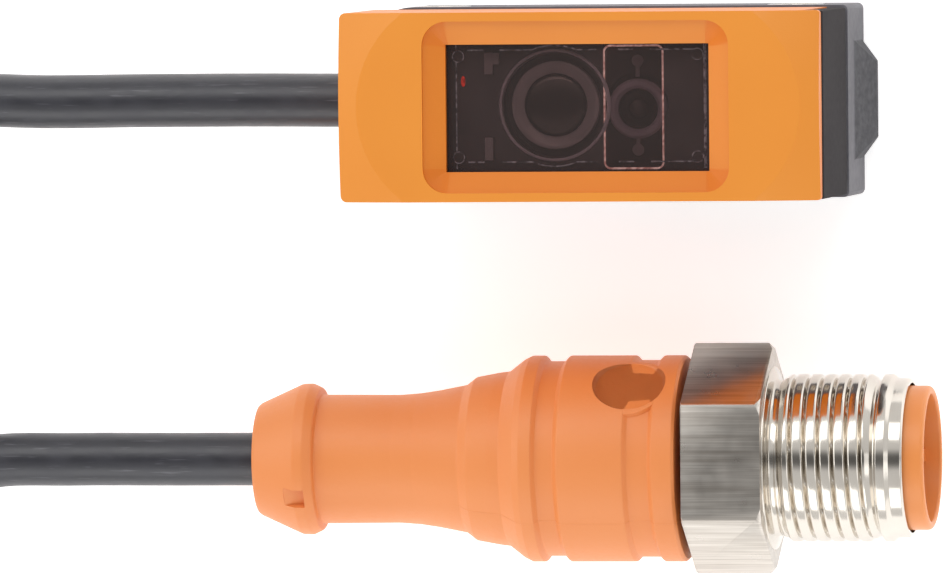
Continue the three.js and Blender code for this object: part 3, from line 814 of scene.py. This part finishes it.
# optics behind the window
optics = {  # millimetres, lengthwise places from the head's cable end
    "floor": carrierHigh.z - 0.3 * mm,  # top of the carrier's plate, without its pegs
    "ridge": 0.055,
    "ridgeWidth": 7.88,  # between the two long ridges
    "ridgeSwell": 4.25,  # radius of their bend round the large lens
    "ridgeBefore": (8.74, 9.89, 11.03),
    "ridgeAfter": (3.0, (19.46, 20.53), (21.74, 24.8)),  # the first is from the large lens
    "endRidges": (((7.92, 4.4), (7.92, -4.4), 0.05, 0.05), ((25.6, 4.4), (25.6, -4.4), 0.02, 0.11)),
    "pegs": ((8.1, 3.5), (8.1, -3.6), (25.1, 3.6), (25.1, -3.6)),
    "pegRadius": 0.4,
    "receiverAcross": 0.05,
    "ringRadii": (2.2, 3.1, 3.7, 4.0),  # disc, step, groove and rim
    "emitterAcross": -0.25,
    "plateEdge": (18.42, 22.58, -4.42, 4.2),
    "plateCorner": 0.43,
    "plateDrop": -0.15,
    "keyhole": (20.72, 3.13),
    "keyholeStem": (20.58, 20.86, 2.0, 2.9),
    "tabs": ((9.96, 10.55, 2.25, 3.75), (10.5, 11.0, 2.95, 3.75), (9.96, 10.53, -3.8, -2.2)),
    "pilot": (8.4, 1.75),
    "pilotStretch": 2.4,
}


def tubePath(name, points, radius, cyclic=False):
    curve = curvePiece(name, points, radius * mm, cyclic=cyclic)
    mesh = bpy.data.meshes.new_from_object(curve)
    bpy.data.objects.remove(curve)
    return smoothShade(addObject(name, mesh), 60)


# points in millimetres from the head's cable end, at a height above the carrier's plate
def overCarrier(points, rise):
    return [Vector((headStart + x * mm, y * mm, optics["floor"] + rise * mm)) for x, y in points]


def joinPieces(name, pieces):
    bm = bmesh.new()
    for piece in pieces:
        bm.from_mesh(piece.data)
        bpy.data.objects.remove(piece)
    return meshPiece(name, bm)


# a rounded crown for a lens: points from its rim up to its middle
def crown(base, height, radius, count, first=0):
    angles = (math.pi / 2 * (1 - i / count) for i in range(first, count + 1))
    return [(base + height * math.cos(a), radius * math.sin(a)) for a in angles]


def addRidges():
    receiverX = (receiverCentre.x - headStart) / mm
    reach = optics["ridgeSwell"]
    start, stop, again = optics["ridgeBefore"]
    after, *others = optics["ridgeAfter"]
    ridges = []
    for side in (1, -1):
        level = side * optics["ridgeWidth"] / 2
        half = math.acos(abs(level) / reach)
        swell = []
        for i in range(25):
            angle = half * (2 * i / 24 - 1)
            swell.append((receiverX + reach * math.sin(angle), side * reach * math.cos(angle)))
        stretches = [
            [(start, level), (stop, level)],
            [(again, level)] + swell + [(receiverX + after, level)],
        ]
        stretches += [[(low, level), (high, level)] for low, high in others]
        for stretch in stretches:
            ridges.append(tubePath("ridge", overCarrier(stretch, 0.1), optics["ridge"]))
    radius = optics["pegRadius"]
    for x, y in optics["pegs"]:
        circle = [(x + radius * math.cos(a), y + radius * math.sin(a)) for a in
                  (2 * math.pi * i / 24 for i in range(24))]
        ridges.append(tubePath("pegRim", overCarrier(circle, 0.3), 0.04, True))
    for low, high, rise, radius in optics["endRidges"]:
        ridges.append(tubePath("endRidge", overCarrier([low, high], rise), radius))
    # the ridges get the pale glowing acrylic, a painted highlight along each line
    finishPiece(joinPieces("carrierRidges", ridges), ridgeHighlightAcrylic)


# the large lens: dark disc, paler step, dark groove and thin outer rim
def addReceiver():
    centre = Vector((receiverCentre.x, optics["receiverAcross"] * mm, optics["floor"]))
    disc, step, groove, rim = optics["ringRadii"]
    dome = [(-1.2, 0), (-1.2, disc), (-0.5, disc)] + crown(-0.5, 0.35, disc, 10, 1)
    ring = filletedOutline([
        (-1.2, disc + 0.02), (-0.55, disc + 0.02, 0.08), (-0.3, step - 0.25, 0.1), (-0.3, step, 0.08),
        (-1.2, step),
    ])
    outer = filletedOutline([
        (-0.1, groove), (0.07, groove + 0.08, 0.05), (0.07, rim - 0.1, 0.05), (-0.05, rim),
    ])
    for name, outline, material, slot, replaced in (
        ("receiverLens", dome, lensDark, "clear_optic", ["receiver_lens"]),
        ("receiverLensRing", ring, lensRim, "dark_cover", ["receiver_lens_ring"]),
        ("receiverRim", outer, lensPale, "black_plastic", []),
    ):
        lens = smoothShade(turnedPiece(name, outline, centre, "z"))
        finishPiece(lens, material, replaced=replaced)


# the small lens in its clear plate, with a pale glowing tube along the plate's cut edge as a painted
# highlight
def addEmitter():
    centre = Vector((emitterCentre.x, optics["emitterAcross"] * mm, optics["floor"]))
    skirt = filletedOutline([
        (-1.9, 1.42), (-0.7, 1.42, 0.1), (-0.35, 1.62, 0.12), (-0.35, 1.95, 0.12), (-0.8, 2.12, 0.1),
        (-1.9, 2.12),
    ])
    well = filletedOutline([(-1.5, 0), (-1.5, 1.38), (-1.0, 1.38, 0.1), (-1.2, 0.95, 0.1), (-1.25, 0)])
    ball = [(-1.25, 0), (-1.25, 0.78)] + crown(-1.2, 0.5, 0.78, 12)
    for name, outline, material, slot, replaced in (
        ("emitterBarrel", skirt, lensPale, "dark_cover", ["emitter_barrel"]),
        ("emitterWell", well, lensDark, "black_plastic", []),
        ("emitterDome", ball, lensDark, "clear_optic", []),
    ):
        lens = smoothShade(turnedPiece(name, outline, centre, "z"))
        finishPiece(lens, material, replaced=replaced)
    plate = softCopy("emitter_lens", "emitterPlate", 0.08 * mm, 2)
    finishPiece(plate, clearAcrylic, replaced=["emitter_lens"])

    low, high, near, far = optics["plateEdge"]
    radius = optics["plateCorner"]
    outline = []
    for i, (x, y) in enumerate(((low, near), (high, near), (high, far), (low, far))):
        middle = (x + (radius if x == low else -radius), y + (radius if y == near else -radius))
        for k in range(7):
            angle = math.radians(180 + 90 * i + 15 * k)
            outline.append((middle[0] + radius * math.cos(angle), middle[1] + radius * math.sin(angle)))
    # painted highlight: a pale glowing tube traces the plate's cut edge
    edge = tubePath("emitterPlateEdge", overCarrier(outline, optics["plateDrop"]), 0.07, True)
    finishPiece(edge, edgeHighlightAcrylic)


# keyhole slots above and below the small lens, and tabs beside the large one
def addMarks():
    def slab(name, x0, x1, y0, y1, low, high):
        return boxMesh(name, (headStart + x0 * mm, y0 * mm, optics["floor"] + low * mm),
                       (headStart + x1 * mm, y1 * mm, optics["floor"] + high * mm))

    marks = []
    holeX, holeY = optics["keyhole"]
    x0, x1, nearer, further = optics["keyholeStem"]
    for side in (1, -1):
        place = Vector((headStart + holeX * mm, side * holeY * mm, optics["floor"]))
        outline = [(-0.75, 0), (-0.75, 0.42), (-0.6, 0.42), (-0.55, 0)]
        marks.append(turnedPiece("keyhole", outline, place, "z", 24))
        y0, y1 = sorted((side * nearer, side * further))
        marks.append(slab("stem", x0, x1, y0, y1, -0.75, -0.62))
    marks += [slab("tab", *tab, -0.2, 0.32) for tab in optics["tabs"]]
    finishPiece(joinPieces("carrierMarks", marks), lensRim)


def addOptics():
    addRidges()
    carrier = softCopy("optics_carrier", "opticsCarrier", 0.06 * mm, 2)
    finishPiece(carrier, carrierMoulding, replaced=["optics_carrier"])
    addReceiver()
    addEmitter()
    addMarks()

    x, y = optics["pilot"]
    glowAt = Vector((headStart + x * mm, y * mm, optics["floor"]))
    spot = turnedPiece("pilotLight", [(0, 0), (0, 0.16), (0.08, 0.12), (0.1, 0)], glowAt, "z", 24)
    for vertex in spot.data.vertices:
        vertex.co.y = glowAt.y + (vertex.co.y - glowAt.y) * optics["pilotStretch"]
    finishPiece(smoothShade(spot), pilotGlow)

    pane = softCopy("window_pane", "windowPane", 0.1 * mm, 2)
    finishPiece(pane, smokedAcrylic, replaced=["window_pane"])
    print("optics done")


addOptics()


# plug
sleeve = {
    "outline": [
        (0.4, 3.7), (0.42, 3.85, 0.12), (0.65, 4.02, 0.15), (3.55, 5.34, 0.5), (4.25, 5.36, 0.35),
        (4.9, 5.05, 0.25), (5.0, 4.57, 0.08), (10.5, 4.54, 4), (12, 4.65, 3),
        (13.4, 4.86, 3), (15.4, 5.25, 0.5),
        (16.1, 5.8, 0.25), (17.7, 6.1, 1.2), (18.5, 6.2, 0.2), (19.6, 7.05, 0.4), (20.1, 7.3, 0.12),
        (20.95, 7.3, 0.12), (21.25, 6.9, 0.12), (22.5, 6.9, 0.12), (22.85, 7.3, 0.15),
        (27.5, 7.3, 0.15),
        (27.8, 6.97, 0.12), (29.3, 6.97, 0.12), (29.6, 7.3, 0.15), (31.0, 7.3, 0.15), (31.2, 7.1, 0.08),
        (31.2, 5.2), (31.2, 0),
    ],
    "thinEnd": 0.4,
    "boreDepth": 11,
    "bore": 1.94,
    "dimpleX": 27.7,
    "dimpleTurn": 50,  # degrees from the top towards the head
    "dimpleRadius": 2.6,
    "dimpleLip": 0.14,
    "dimpleFloor": 6.78,
    "pocketTurn": -30,
    "partingTurn": -37,
    "partingStart": 13.4,
}


# a place on the plug: along it, out from its axis, and turned from the top towards the head
def onPlug(along, out, degrees, sideways=0.0):
    angle = math.radians(degrees)
    radial = Vector((0, math.sin(angle), math.cos(angle)))
    tangent = Vector((0, math.cos(angle), -math.sin(angle)))
    return plugCentre + (Vector((along, 0, 0)) + radial * out + tangent * sideways) * mm


# a round tool that points out of the plug's axis through the dimple's middle
def dimpleTool(name, outline):
    tool = turnedPiece(name, outline, Vector((0, 0, 0)), "z")
    turn = Matrix.Rotation(math.radians(-sleeve["dimpleTurn"]), 4, "X")
    tool.data.transform(Matrix.Translation(onPlug(sleeve["dimpleX"], 0, 0)) @ turn)
    return tool


def addSleeve():
    outline = filletedOutline(sleeve["outline"])
    bore = sleeve["bore"]
    outline += [Vector((sleeve["boreDepth"], 0)), Vector((sleeve["boreDepth"], bore)),
                Vector((sleeve["thinEnd"], bore))]
    piece = turnedPiece("plugSleeve", outline, plugCentre, sides=144)

    radius, floor = sleeve["dimpleRadius"], sleeve["dimpleFloor"]
    outer = radius + sleeve["dimpleLip"]
    lip = dimpleTool("dimpleLip", [(5, 0), (5, outer), (8, outer), (8, 0)])
    skin = turnedPiece("skin", [(24, 0), (24, 7.28), (31, 7.28), (31, 0)], plugCentre, sides=144)
    cutWith(lip, skin, "INTERSECT")
    for part in (piece, lip):
        cutWith(part, dimpleTool("dimple", filletedOutline([
            (floor, 0), (floor + 0.02, 1.2), (floor + 0.08, radius - 0.2, 0.2), (floor + 0.4, radius),
            (9, radius), (9, 0),
        ])))
    smoothShade(lip, 28)
    finishPiece(lip, orangeSleeve)

    # a shallow ramped pocket
    bm = bmesh.new()
    turn = sleeve["pocketTurn"]
    corners = [[bm.verts.new(onPlug(x, out, turn, side)) for x, out in
                ((2.8, 4.96), (4.3, 4.78), (4.3, 6.2), (2.8, 6.2))] for side in (-0.72, 0.72)]
    bm.faces.new(corners[0])
    bm.faces.new(corners[1])
    for i in range(4):
        j = (i + 1) % 4
        bm.faces.new((corners[0][i], corners[0][j], corners[1][j], corners[1][i]))
    bmesh.ops.recalc_face_normals(bm, faces=bm.faces)
    cutWith(piece, meshPiece("pocket", bm))
    smoothShade(piece, 28)
    finishPiece(piece, orangeSleeve, replaced=["connector_boot"])

    # the mould's parting line, a hair proud of the surface
    line = [onPlug(p.x, p.y - 0.02, sleeve["partingTurn"]) for p in outline
            if p.x > sleeve["partingStart"] and p.y > 5]
    seam = tubePath("partingLine", line, 0.035)
    return [piece, lip, finishPiece(seam, orangeSleeve)]


nut = {
    "acrossFlats": 14.15,
    "start": 31.7,
    "hexEnd": 37.35,
    "cableChamfer": 0.2,
    "mouthChamfer": 0.4,
    "pitch": 1.0,
    "threadStart": 38.05,
    "threadEnd": 45.1,
    "crest": 5.95,
    "root": 5.5,
    "bore": 5.3,
    "stepsPerPitch": 14,
    "edge": 0.09 * mm,
}


# one turn of the helix: broad rounded crests and narrow roots
def threadRadius(along, radius, angle):
    inside = min(along - nut["threadStart"], nut["threadEnd"] - along)
    if inside <= 0:
        return radius
    phase = (along / nut["pitch"] - angle / (2 * math.pi)) % 1
    ridge = 1 - (1 - abs(math.sin(math.pi * phase))) ** 3
    fade = min(inside / 0.7, 1)
    target = nut["root"] + (nut["crest"] - nut["root"]) * ridge
    return nut["root"] + (target - nut["root"]) * fade if radius > nut["bore"] + 0.01 else radius


def addNut():
    corner = nut["acrossFlats"] / math.sqrt(3)
    bm = bmesh.new()
    bmesh.ops.create_cone(bm, cap_ends=True, segments=6, radius1=corner * mm, radius2=corner * mm,
                          depth=(nut["hexEnd"] - nut["start"]) * mm)
    middle = Vector(((nut["start"] + nut["hexEnd"]) / 2, 0, 0)) * mm
    turn = Matrix.Rotation(math.radians(90), 4, "Y")
    bmesh.ops.transform(bm, matrix=Matrix.Translation(plugCentre + middle) @ turn, verts=bm.verts)
    hexagon = meshPiece("ringNutHexagon", bm)
    cone = turnedPiece("chamfer", [
        (nut["start"] - 0.2, nut["bore"]), (nut["start"] - 0.2, corner - nut["cableChamfer"] - 0.15),
        (nut["start"] + nut["cableChamfer"], corner + 0.1),
        (nut["hexEnd"] - nut["mouthChamfer"], corner + 0.1),
        (nut["hexEnd"] + 0.1, corner - nut["mouthChamfer"] - 0.1), (nut["hexEnd"] + 0.1, nut["bore"]),
    ], plugCentre, sides=144)
    cutWith(hexagon, cone, "INTERSECT")
    bevelEdges(hexagon, nut["edge"], 2, 20)
    weightNormals(hexagon)
    smoothShade(hexagon, 40)
    finishPiece(hexagon, drawnNickel, body="ring_nut", replaced=["coupling_nut"])

    steps = round((nut["threadEnd"] - nut["threadStart"]) / nut["pitch"] * nut["stepsPerPitch"])
    length = nut["threadEnd"] - nut["threadStart"]
    thread = [Vector((nut["threadStart"] + length * i / steps, nut["root"])) for i in range(steps + 1)]
    neck = filletedOutline([
        (nut["hexEnd"] - 0.6, nut["bore"]), (nut["hexEnd"] - 0.6, 6.5),
        (nut["hexEnd"] + 0.08, 6.5, 0.1),
        (nut["hexEnd"] + 0.35, 5.6, 0.3), (nut["threadStart"], nut["root"]),
    ])
    lip = filletedOutline([
        (nut["threadEnd"], nut["root"]), (45.2, 5.55, 0.05), (45.35, 5.95, 0.1), (45.95, 5.95, 0.15),
        (46.25, 5.66, 0.15), (47.05, 5.66, 0.1), (47.2, 5.5, 0.05), (47.2, nut["bore"]),
    ])
    stem = turnedPiece("ringNutThread", neck[:-1] + thread + lip[1:], plugCentre, sides=144,
                       radiusAt=threadRadius)
    smoothShade(stem, 50)
    finishPiece(stem, turnedNickel, body="ring_nut")
    return hexagon, stem


insert = {  # radii, and places along the plug
    "outer": 5.1,
    "mouth": 4.5,
    "start": 31.6,
    "floor": 39.5,
    "end": 48.65,
    "groove": (41.2, 42.6, 4.75),
    "keyWidth": 0.9,
    "keyHeight": 1.05,
    "pinStart": 37,
    "pinEnd": 46.9,
    "pinRadius": 0.5,
    "pinCircle": 2.75,
}


def addInsert():
    outer, mouth, floor, end = insert["outer"], insert["mouth"], insert["floor"], insert["end"]
    grooveStart, grooveEnd, grooveRadius = insert["groove"]
    outline = filletedOutline([
        (insert["start"], 0), (insert["start"], outer), (grooveStart, outer),
        (grooveStart, grooveRadius),
        (grooveEnd, grooveRadius), (grooveEnd, outer), (end, outer, 0.35), (end, mouth, 0.2),
        (floor, mouth, 0.15), (floor, 0),
    ])
    body = turnedPiece("contactInsert", outline, plugCentre, sides=128)
    keyLow = plugCentre + Vector((floor - 0.3, -insert["keyWidth"] / 2, -mouth - 0.3)) * mm
    keySize = Vector((end - 0.9 - floor, insert["keyWidth"], insert["keyHeight"])) * mm
    key = boxMesh("key", keyLow, keyLow + keySize)
    piece = cutWith(body, key, "UNION")
    smoothShade(piece, 40)
    finishPiece(piece, orangeInsert, replaced=["contact_carrier"])
    pins = []
    for i in range(4):
        angle = math.radians(90 * i)
        centre = plugCentre + Vector((0, math.cos(angle), math.sin(angle))) * insert["pinCircle"] * mm
        start, radius = insert["pinStart"], insert["pinRadius"]
        tip = [(insert["pinEnd"] - radius * (1 - math.sin(a)) * 0.9, radius * math.cos(a)) for a in
               (math.pi / 2 * k / 8 for k in range(9))]
        outline = [(start, 0), (start, radius)] + tip
        pin = turnedPiece("contactPin" + str(i + 1), outline, centre, sides=32)
        smoothShade(pin, 50)
        pins.append(finishPiece(pin, goldPlate, replaced=["contact_pin_" + str(i + 1)]))
    ring = turnedPiece("faceSeal", filletedOutline([
        (41.3, 4.78), (41.3, 5.2, 0.2), (42.5, 5.2, 0.2), (42.5, 4.78),
    ]), plugCentre, sides=96)
    smoothShade(ring, 50)
    return [piece, finishPiece(ring, rubber, replaced=["face_seal"])] + pins


sleevePieces = addSleeve()
nutPieces = addNut()
insertPieces = addInsert()
print("plug done")

# coil tie
tie = {
    "gap": 0.3,
    "band": 0.6,
    "width": 3.0,
    "ridgeSpacing": 0.75,
    "ridgeHeight": 0.12,
    "lockSize": (1.9, 3.8, 3.2),
    "lockBottom": 3.4,
    "strapEdge": 0.15 * mm,
    "lockEdge": 0.25 * mm,
}


# ridges set crosswise along the strap's outer line, as a small tree with its sizes as inputs
def ridgeTree():
    tree = bpy.data.node_groups.new("strap ridges", "GeometryNodeTree")
    face = tree.interface
    face.new_socket("Geometry", in_out="INPUT", socket_type="NodeSocketGeometry")
    for name in ("Spacing", "Width", "Height"):
        face.new_socket(name, in_out="INPUT", socket_type="NodeSocketFloat")
    face.new_socket("Material", in_out="INPUT", socket_type="NodeSocketMaterial")
    face.new_socket("Geometry", in_out="OUTPUT", socket_type="NodeSocketGeometry")
    given = addNode(tree, "NodeGroupInput")
    points = addNode(tree, "GeometryNodeCurveToPoints", {
        "Curve": given.outputs["Geometry"], "Length": given.outputs["Spacing"],
    }, mode="LENGTH")
    size = addNode(tree, "ShaderNodeCombineXYZ", {
        "X": given.outputs["Width"], "Y": given.outputs["Height"], "Z": given.outputs["Height"],
    })
    bar = addNode(tree, "GeometryNodeMeshCube", {"Size": size.outputs[0]})
    placed = addNode(tree, "GeometryNodeInstanceOnPoints", {
        "Points": points.outputs["Points"], "Instance": bar.outputs["Mesh"],
        "Rotation": points.outputs["Rotation"],
    })
    real = addNode(tree, "GeometryNodeRealizeInstances", {"Geometry": placed.outputs["Instances"]})
    coloured = addNode(tree, "GeometryNodeSetMaterial", {
        "Geometry": real.outputs["Geometry"], "Material": given.outputs["Material"],
    })
    addNode(tree, "NodeGroupOutput", {"Geometry": coloured.outputs["Geometry"]})
    return tree


def runTree(piece, tree, values):
    modifier = piece.modifiers.new("nodes", "NODES")
    modifier.node_group = tree
    for item in tree.interface.items_tree:
        if item.in_out == "INPUT" and item.name in values:
            modifier[item.identifier] = values[item.name]
    depsgraph = bpy.context.evaluated_depsgraph_get()
    mesh = bpy.data.meshes.new_from_object(piece.evaluated_get(depsgraph))
    piece.modifiers.clear()
    result = addObject(piece.name + "Made", mesh)
    bpy.data.objects.remove(piece)
    return result


# the strap's line round both layers of the coil, at a distance from the cable's surface
def strapLine(distance):
    radius = cable["diameter"] / 2 + distance * mm
    line = []
    for level, start in ((layerHigh, 0), (layerLow, 180)):
        for k in range(17):
            angle = math.radians(start + 180 * k / 16)
            line.append(Vector((radius * math.cos(angle), 0, level + radius * math.sin(angle))))
    place = Vector((coilCentre.x - cable["turnRadius"], coilCentre.y, 0))
    return [place + point for point in line]


def addTie():
    inner = strapLine(tie["gap"])
    outer = strapLine(tie["gap"] + tie["band"])
    half = Vector((0, tie["width"] / 2, 0)) * mm
    bm = bmesh.new()
    rings = [[bm.verts.new(p) for p in (a - half, b - half, b + half, a + half)]
             for a, b in zip(inner, outer)]
    for ring, following in zip(rings, rings[1:] + rings[:1]):
        for i in range(4):
            bm.faces.new((ring[i], ring[(i + 1) % 4], following[(i + 1) % 4], following[i]))
    bmesh.ops.recalc_face_normals(bm, faces=bm.faces)
    strap = meshPiece("strap", bm)
    bevelEdges(strap, tie["strapEdge"], 2, 50)
    bakeModifiers(strap)

    ridgeLine = curvePiece("ridgeLine", strapLine(tie["gap"] + tie["band"] - 0.02))
    ridges = runTree(ridgeLine, ridgeTree(), {
        "Spacing": tie["ridgeSpacing"] * mm, "Width": tie["width"] * 0.7 * mm,
        "Height": tie["ridgeHeight"] * 2 * mm, "Material": tieMoulding,
    })

    depth, width, height = tie["lockSize"]
    reach = cable["diameter"] / 2 + 0.6 * mm
    corner = Vector((coilCentre.x - cable["turnRadius"] + reach, coilCentre.y - width / 2 * mm,
                     tie["lockBottom"] * mm))
    lock = boxMesh("lock", corner, corner + Vector((depth, width, height)) * mm)
    bevelEdges(lock, tie["lockEdge"], 3, 30)
    bakeModifiers(lock)
    piece = joinPieces("coilTie", [strap, ridges, lock])
    smoothShade(piece, 40)
    return finishPiece(piece, tieMoulding, replaced=["coil_tie"])


tiePiece = addTie()

# cable on its way from the grommet to the plug
finishPiece(cablePiece, cableJacket,
            replaced=["cable_head_run", "cable_coil", "cable_plug_run"])

# finishes of the CAD nodes that stay
conductorColours = {"1": "5e3a22", "2": "e6e4df", "3": "2c4f9e", "4": "1b1b1c"}
nodeFinishes = {
    "housing_gasket": rubber, "window_seal": rubber, "cable_grommet": rubber,
    "range_knob_seal": rubber, "mode_knob_seal": rubber,
    "range_control_base": controlMoulding, "mode_control_base": controlMoulding,
    "cable_clamp": controlMoulding, "circuit_board": boardLaminate, "shield_can": tinnedSteel,
    "receiver_chip": chipEpoxy, "controller_chip": chipEpoxy, "emitter_led": emitterResin,
    "power_lamp": powerResin, "output_lamp": outputResin,
    "power_light_pipe": clearAcrylic, "output_light_pipe": clearAcrylic,
}
for number, colour in conductorColours.items():
    insulation = mouldedPlastic("extruded PVC insulation " + number, colour, colour, 0.4)
    nodeFinishes["conductor_" + number] = insulation
for node, material in nodeFinishes.items():
    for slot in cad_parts[node].material_slots:
        slot.material = material
print("carried nodes finished:", len(nodeFinishes))
